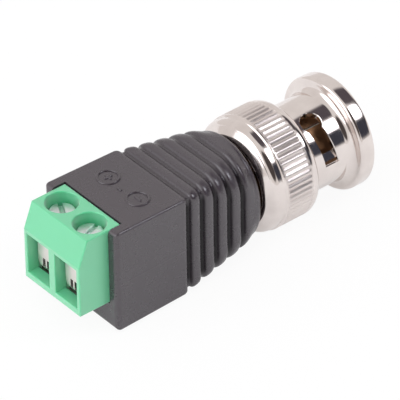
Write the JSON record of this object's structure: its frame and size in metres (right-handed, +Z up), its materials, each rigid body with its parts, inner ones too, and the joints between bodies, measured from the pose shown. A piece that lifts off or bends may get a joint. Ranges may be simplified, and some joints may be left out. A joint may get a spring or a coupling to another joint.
{
  "type": "bnc plug to screw terminal adapter",
  "caption": "Bayonet coaxial plug on a ribbed moulded housing, with a rising clamp terminal block at the back that joins bare wires to its pin and shell.",
  "frame": {"origin": "middle of the overall length, on the plug's axis", "axes": "+X along the plug's axis out of its mouth, +Z up out of the clamp screws' holes, +Y towards the positive pole"},
  "size_m": [0.0422, 0.0144, 0.0144],
  "materials": {
    "black_moulding": "fine moulded black",
    "green_polyamide": "satin green",
    "tinned_brass": "dull tin plate",
    "zinc_plated_steel": "bright zinc plate",
    "tinned_leaf": "bright tin plate",
    "nickel_plate": "bright nickel plate",
    "phosphor_bronze": "plain bronze",
    "white_dielectric": "matt white",
    "gold_plate": "gold flash",
    "spring_steel": "plain steel",
    "black_rubber": "matt",
    "tinned_copper": "tinned",
    "red_sleeve": "satin red"
  },
  "bodies": {
    "adapter_body": {"housing": "black_moulding", "terminal_housing": "green_polyamide", "contact_frame_positive": "tinned_brass", "contact_frame_negative": "tinned_brass", "plug_body": "nickel_plate", "outer_contact": "phosphor_bronze", "front_insulator": "white_dielectric", "rear_insulator": "white_dielectric", "centre_contact": "gold_plate", "retaining_ring": "phosphor_bronze", "wave_washer": "spring_steel", "backing_washer": "spring_steel", "face_gasket": "black_rubber", "ground_lug": "tinned_brass", "signal_lead": "tinned_copper", "ground_lead": "tinned_copper", "signal_sleeve": "red_sleeve"},
    "thrust_washer": {"thrust_washer": "spring_steel"},
    "coupling_nut": {"coupling_nut": "nickel_plate"},
    "wire_guard_positive": {"wire_guard_positive": "tinned_leaf"},
    "wire_guard_negative": {"wire_guard_negative": "tinned_leaf"},
    "clamp_screw_positive": {"clamp_screw_positive": "zinc_plated_steel"},
    "clamp_screw_negative": {"clamp_screw_negative": "zinc_plated_steel"}
  },
  "joints": [
    {"name": "nut_slide", "type": "slide", "parent": "adapter_body", "child": "thrust_washer", "axis": [1, 0, 0], "range_m": [0, 0.0006], "stiffness_N_per_m": 1200, "springref_m": -0.0005, "deforming": ["wave_washer"]},
    {"name": "nut_turn", "type": "hinge", "parent": "thrust_washer", "child": "coupling_nut", "pos_m": [0, 0, 0], "axis": [1, 0, 0], "continuous": true},
    {"name": "clamp_positive_travel", "type": "slide", "parent": "adapter_body", "child": "wire_guard_positive", "axis": [0, 0, -1], "range_m": [-0.001, 0.00055]},
    {"name": "clamp_positive_turn", "type": "hinge", "parent": "wire_guard_positive", "child": "clamp_screw_positive", "pos_m": [-0.01742, 0.0025, 0], "axis": [0, 0, -1], "range_deg": [-720, 396]},
    {"name": "clamp_negative_travel", "type": "slide", "parent": "adapter_body", "child": "wire_guard_negative", "axis": [0, 0, -1], "range_m": [-0.001, 0.00055]},
    {"name": "clamp_negative_turn", "type": "hinge", "parent": "wire_guard_negative", "child": "clamp_screw_negative", "pos_m": [-0.01742, -0.0025, 0], "axis": [0, 0, -1], "range_deg": [-720, 396]}
  ],
  "couplings": [
    {"joint": "clamp_positive_turn", "follows": "clamp_positive_travel", "rad_per_m": 12566},
    {"joint": "clamp_negative_turn", "follows": "clamp_negative_travel", "rad_per_m": 12566}
  ]
}
